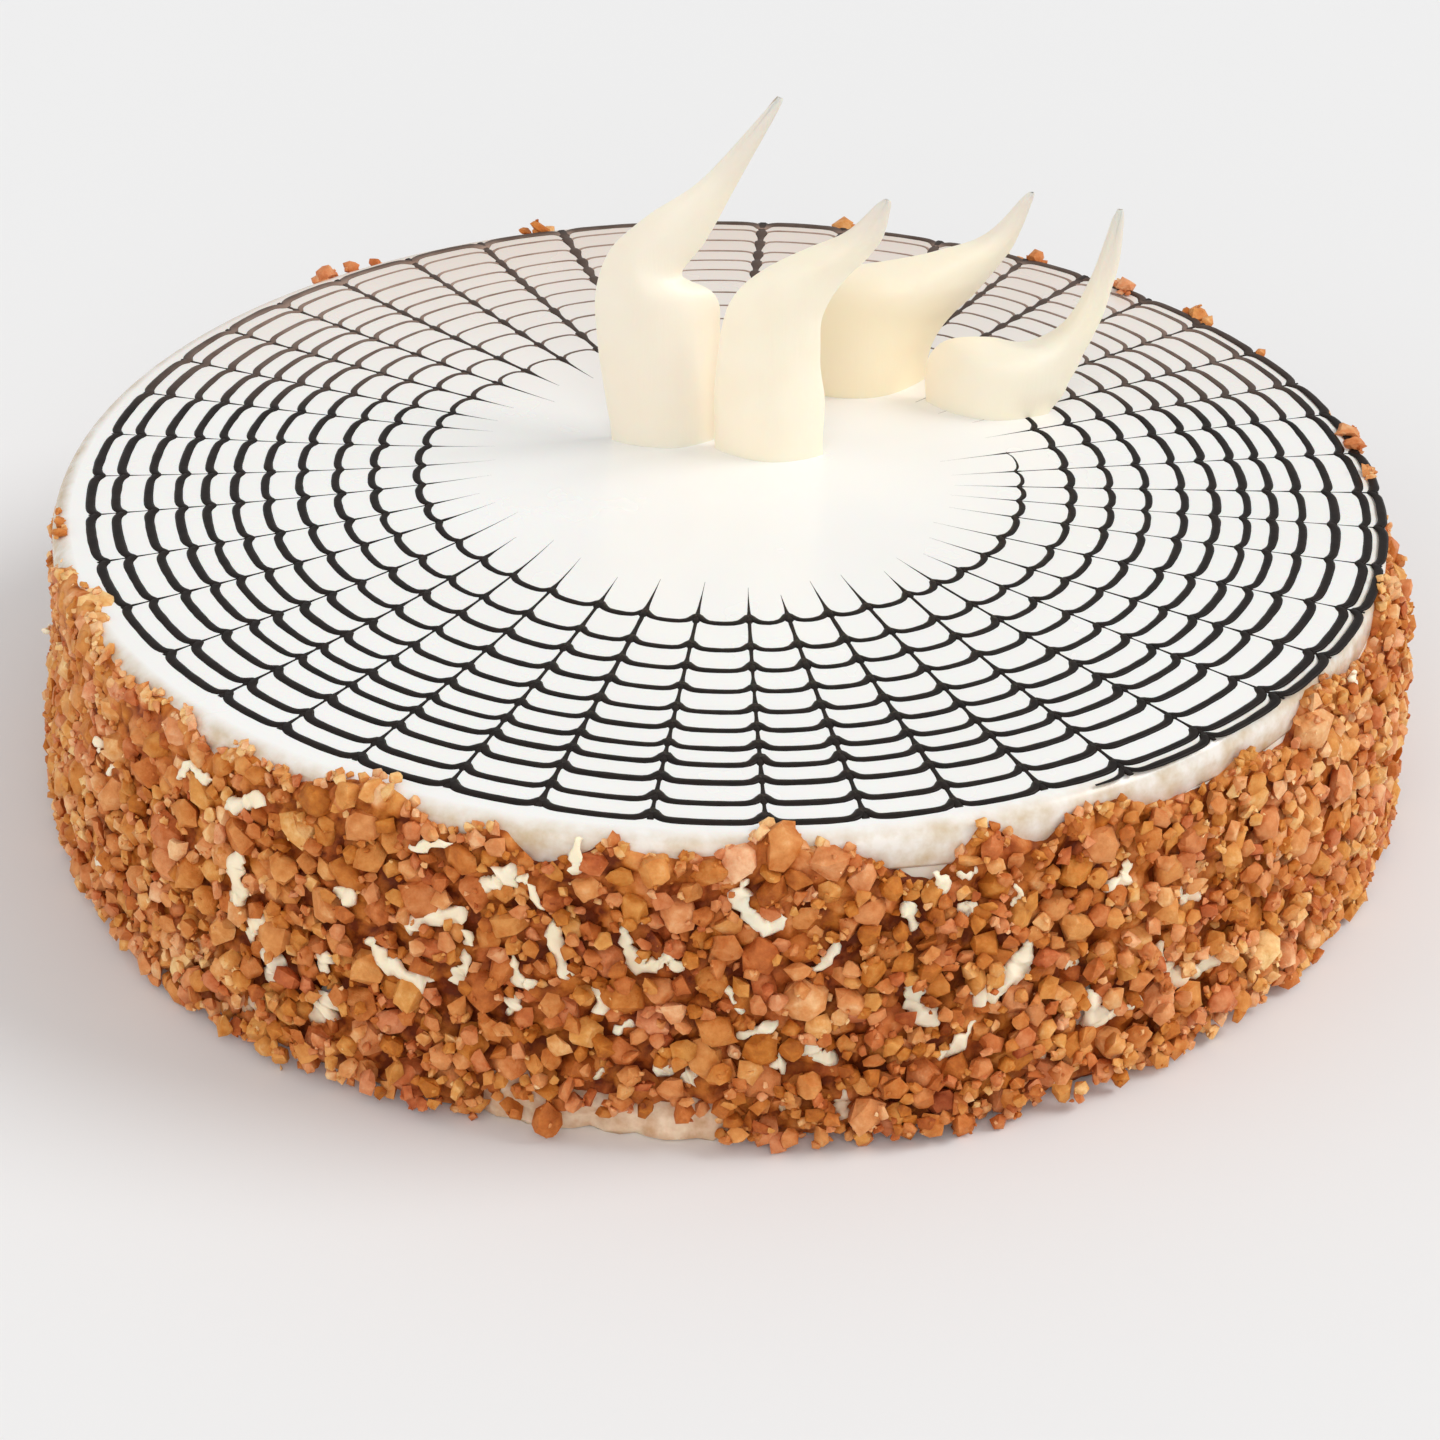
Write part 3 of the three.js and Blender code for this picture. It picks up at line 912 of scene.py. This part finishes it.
def makeCrunch():
    material = crunchMaterial()
    makeBed(material)
    makeSmears(np.random.default_rng(smearForm["seed"]))
    random = np.random.default_rng(2026)
    grains = {}
    nuggets = [heap.add(azimuth, climb * mm, size * mm, 1.7 * mm, tone, redness)
               for azimuth, climb, size, tone, redness in plainNuggets]
    for name in ("crunchNuggets", "crunchCrumbs", "crunchBits"):
        grains[name] = settle(grainKinds[name], random)
    grains["crunchNuggets"] += nuggets
    for _ in range(edgeBits["count"]):
        azimuth = random.uniform(-180, 180)
        below = edgeBits["below"] + bell(azimuth, -163, 12) * edgeBits["leftBelow"]
        climb = coatTop(azimuth) + random.uniform(-below, edgeBits["above"]) * mm
        size = random.uniform(*edgeBits["radius"]) * mm
        lift = size * 0.35 + random.uniform(0, 0.3) * coatDepth(azimuth, climb)
        tint = freshTone(grainKinds["crunchBits"], azimuth, climb, random)
        grains["crunchBits"].append((azimuth, climb, size, lift, *tint))

    spots = {name: [(*onCake(azimuth, climb, lift), size, tone, redness)
                    for azimuth, climb, size, lift, tone, redness in kind]
             for name, kind in grains.items()}
    spots["crunchCrumbs"] += makeStrays(random)
    # the fines cling to the outer faces of larger grains
    hosts = spots["crunchNuggets"] * 3 + spots["crunchCrumbs"]
    spots["crunchFines"] = []
    kind = grainKinds["crunchFines"]
    for _ in range(kind["count"]):
        place, out, size, tone, redness = hosts[random.integers(len(hosts))]
        way = (Vector(random.normal(size=3)).normalized() + out * 0.7).normalized()
        own = random.uniform(*kind["radius"]) * mm
        aside = way - out * way.dot(out) * 0.32
        spots["crunchFines"].append((place + aside * size * 0.86, out, own,
                                     tone + random.uniform(-0.2, 0.3), redness))
    for name, kind in grainKinds.items():
        print(f"{name}: {len(spots[name])} grains")
        mesh = grainMesh(name, kind, spots[name], np.random.default_rng(kind["seed"]))
        finishPiece(name, mesh, material)


# A smooth curve through points, evenly spaced in its parameter.
def through(points, share):
    last = len(points) - 1
    index = min(int(share * last), last - 1)
    step = share * last - index
    before, start, end, after = (
        Vector(points[min(max(index + k, 0), last)]) for k in (-1, 0, 1, 2))
    out, back = (end - before) / 2, (after - start) / 2
    return ((2 * start - 2 * end + out + back) * step ** 3
            + (-3 * start + 3 * end - 2 * out - back) * step ** 2 + out * step + start)


# White chocolate blades. Edges run from the foot to the tip as (x, z) in mm, in an upright
# plane at "plane"; the width is turned by "yaw" and the tip sweeps back by "sweep". A blade may
# have painted shade: yellower in its hollow, or duller all over.
bladeForm = {
    "across": 22,
    "along": 96,
    "tipThinning": 0.42,  # thickness at the tip, as a share of that at the foot
    "sunk": 0.7,  # how far the foot goes into the glaze
    "ragged": 0.28,
    "softEdge": 0.45 * mm,
}
blades = {
    "blade_tall": {
        "left": [(-17.2, 50.3), (-18.6, 60), (-19.6, 69), (-19.8, 76),
                 (-17.6, 82.6), (-11.4, 88.6), (-2.4, 95.4), (8.3, 108)],
        "right": [(-0.2, 50.3), (-0.2, 60), (-0.4, 68.6), (-1.4, 74.4),
                  (-6.8, 78), (-3, 84), (1.8, 93.6), (9.3, 108)],
        # the tall blade is dulled all over with painted shade
        "plane": 15.5, "sweep": 5, "yaw": 5, "cup": 0.42, "thickness": 2, "dull": 0.28,
    },
    "blade_front": {
        "left": [(-0.4, 50.3), (-0.6, 59), (-0.2, 67.6), (1.4, 76),
                 (6.4, 81.8), (13.4, 86), (20, 89.8), (25.1, 96)],
        "right": [(16, 50.3), (16, 59), (15.4, 67), (15.6, 75),
                  (18.2, 80.6), (22.2, 85.4), (25, 89.8), (26.2, 96)],
        "plane": 11, "sweep": -2.5, "yaw": -7, "cup": 0.45, "thickness": 2,
    },
    "blade_back": {
        "left": [(12.4, 50.3), (11.2, 58), (11.4, 65.4), (16, 70.2),
                 (25.4, 71.8), (35.4, 74), (43.6, 77.2), (50.2, 84.6)],
        "right": [(34.2, 50.3), (35.4, 56), (38.2, 60.6), (41.6, 64.6),
                  (44.6, 68.7), (47, 73.2), (49.2, 78.3), (51.2, 84.6)],
        # the rear blade's hollow is painted yellower, as painted shade
        "plane": 35.5, "sweep": 3, "yaw": 9, "cup": 0.5, "thickness": 1.9, "hollow": 0.75,
    },
    "blade_right": {
        "left": [(34.4, 50.3), (33.8, 55.6), (36.4, 60), (43, 61.2),
                 (50, 60.8), (56.4, 64.8), (60.6, 73.4), (64, 85.7)],
        "right": [(53.6, 50.3), (55.6, 52.8), (57, 56), (58.8, 59.7),
                  (60.6, 63.8), (62.6, 69), (64.4, 76.3), (65, 85.7)],
        "plane": 27.5, "sweep": 2, "yaw": -12, "cup": 0.46, "thickness": 1.9,
    },
}


# The tips are painted greyer as painted shade where they thin and turn edge-on, and the hollow of
# the rear blade is painted yellowest, as painted shade in the hollow.
def whiteChocolateMaterial():
    material, shader = newMaterial("whiteChocolate", Roughness=0.38, Subsurface_Weight=0.2,
                                   Subsurface_Scale=0.003, Specular_IOR_Level=0.4)
    place = objectPoint(material)
    plain = rampOn(material, noiseOn(material, place, 42), [
        (0.3, fromSrgb(251, 237, 212)), (0.7, fromSrgb(255, 246, 226))])
    warm = mixOf(material, attributeOf(material, "hollow"), plain,
                 (*fromSrgb(255, 237, 202), 1))
    tip = mixOf(material, attributeOf(material, "thin"), warm, (*fromSrgb(223, 216, 206), 1))
    feed(shader, "Base Color", tip)
    feed(shader, "Roughness", rangeOf(material, noiseOn(material, place, 160), 0.3, 0.48))
    grain = addNode(material, "Mapping", Vector=place, Scale=(1, 1, 0.14)).outputs["Vector"]
    bumpOn(material, shader, noiseOn(material, grain, 620, 3), 0.22, 0.25 * mm)
    return material


def makeBlade(name, form, material):
    bm = bmesh.new()
    bmesh.ops.create_grid(bm, x_segments=bladeForm["across"], y_segments=bladeForm["along"],
                          size=1)
    weights = bm.verts.layers.float.new("climb")
    hollow = bm.verts.layers.float.new("hollow")
    thin = bm.verts.layers.float.new("thin")
    yaw = math.radians(form["yaw"])
    for vert in bm.verts:
        across, climb = vert.co.x, (vert.co.y + 1) / 2
        left, right = through(form["left"], climb), through(form["right"], climb)
        middle = (left + right) / 2
        half = (right - left) / 2 * math.sqrt(1 - 0.9 * max(0, climb * 25 - 24) ** 2)
        rough = 1 + bladeForm["ragged"] / max(half.length, 1) * noise.noise(
            Vector((climb * 9, 3 * across, form["plane"])))
        depth = form["cup"] * half.length * (across * across - 0.5)
        depth += 0.35 * noise.noise(Vector((across * 1.5, climb * 5, form["plane"] * 2)))
        sweep = form["sweep"] * climb * climb
        sink = bladeForm["sunk"] * (1 - smoothStep(climb, 0, 0.06))
        aside = half.x * across * rough
        vert.co = Vector((
            middle.x + aside * math.cos(yaw) - depth * math.sin(yaw),
            form["plane"] + sweep + aside * math.sin(yaw) + depth * math.cos(yaw),
            middle.y + half.y * across * rough - sink,
        )) * mm
        vert[weights] = climb
        # painted shade: yellower low in the hollow
        vert[hollow] = form.get("hollow", 0) * (1 - smoothStep(climb, 0.3, 0.6))
        # painted shade: greyer towards the tip, and duller all over where the form asks
        vert[thin] = max(form.get("dull", 0), 0.85 * smoothStep(climb, 0.72, 1))
    mesh = meshFrom(bm, name)
    climbs = np.zeros(len(mesh.vertices))
    mesh.attributes["climb"].data.foreach_get("value", climbs)
    piece = finishPiece("chocolate" + name.title().replace("_", ""), mesh, material,
                        [name])
    group = piece.vertex_groups.new(name="body")
    for index, climb in enumerate(climbs):
        group.add([index], 1 - (1 - bladeForm["tipThinning"]) * climb, "REPLACE")
    thick = piece.modifiers.new("thick", "SOLIDIFY")
    thick.thickness = form["thickness"] * mm
    thick.offset = 0
    thick.vertex_group = "body"
    soft = piece.modifiers.new("soft", "BEVEL")
    soft.width = bladeForm["softEdge"]
    soft.segments = 3
    soft.limit_method = "ANGLE"
    soft.angle_limit = math.radians(50)


# Floor, lights and camera
stageForm = {
    "floorSize": 6,
    "floorTone": fromSrgb(236, 236, 236),
    "worldTone": (1, 1, 1),
    "worldStrength": 0.56,
    # soft suns: azimuth, elevation, width in degrees, and share of the light on the floor
    "suns": {
        "right": (2, 40, 30, 0.29),
        "front": (-92, 32, 50, 0.15),
        "left": (-168, 16, 40, 0.035),
    },
}
cameraForm = {
    "lens": 100,
    "distance": 643.3 * mm,
    "elevation": 27.48,
    "roll": 0.6,
    "tilt": 3.365,  # degrees below the middle of the top that it points
}


def makeSun(name, azimuth, elevation, width, share):
    light = bpy.data.lights.new(name, "SUN")
    light.angle = math.radians(width)
    light.energy = share * math.pi / math.sin(math.radians(elevation))
    lamp = addToScene(name, light)
    up = math.radians(elevation)
    towards = polar(math.cos(up), math.radians(azimuth), math.sin(up))
    lamp.rotation_mode = "QUATERNION"
    lamp.rotation_quaternion = (-towards).to_track_quat("-Z", "Y")


def makeStage():
    material, shader = newMaterial("paleFloor", Roughness=0.7, Specular_IOR_Level=0.2)
    place = objectPoint(material)
    low = stageForm["floorTone"]
    feed(shader, "Base Color", rampOn(material, noiseOn(material, place, 3), [
        (0.3, low), (0.7, tuple(value * 1.01 for value in low))]))
    bm = bmesh.new()
    bmesh.ops.create_grid(bm, x_segments=1, y_segments=1, size=stageForm["floorSize"] / 2)
    mesh = meshFrom(bm, "floor", smooth=False)
    mesh.materials.append(material)
    addToScene("floor", mesh)

    world = bpy.data.worlds.new("studio")
    world.use_nodes = True
    background = world.node_tree.nodes["Background"]
    background.inputs["Color"].default_value = (*stageForm["worldTone"], 1)
    background.inputs["Strength"].default_value = stageForm["worldStrength"]
    bpy.context.scene.world = world
    for name, sun in stageForm["suns"].items():
        makeSun(name, *sun)


def makeCamera():
    data = bpy.data.cameras.new("camera")
    data.lens = cameraForm["lens"]
    data.sensor_width = 36
    camera = addToScene("camera", data)
    elevation = math.radians(cameraForm["elevation"])
    target = Vector((0, 0, cakeTop))
    back = Vector((0, -math.cos(elevation), math.sin(elevation)))
    camera.location = target + back * cameraForm["distance"]
    camera.rotation_mode = "QUATERNION"
    camera.rotation_quaternion = (
        (-back).to_track_quat("-Z", "Y")
        @ Quaternion((0, 0, 1), math.radians(cameraForm["roll"]))
        @ Quaternion((1, 0, 0), -math.radians(cameraForm["tilt"])))
    data.clip_start = 0.01
    bpy.context.scene.camera = camera
    bpy.context.scene.view_settings.view_transform = "Standard"


makeCamera()
makeStage()
makeCream()
makeGlaze()
makeWeb()
makeCrunch()
chocolate = whiteChocolateMaterial()
for bladeName, bladeEdges in blades.items():
    makeBlade(bladeName, bladeEdges, chocolate)
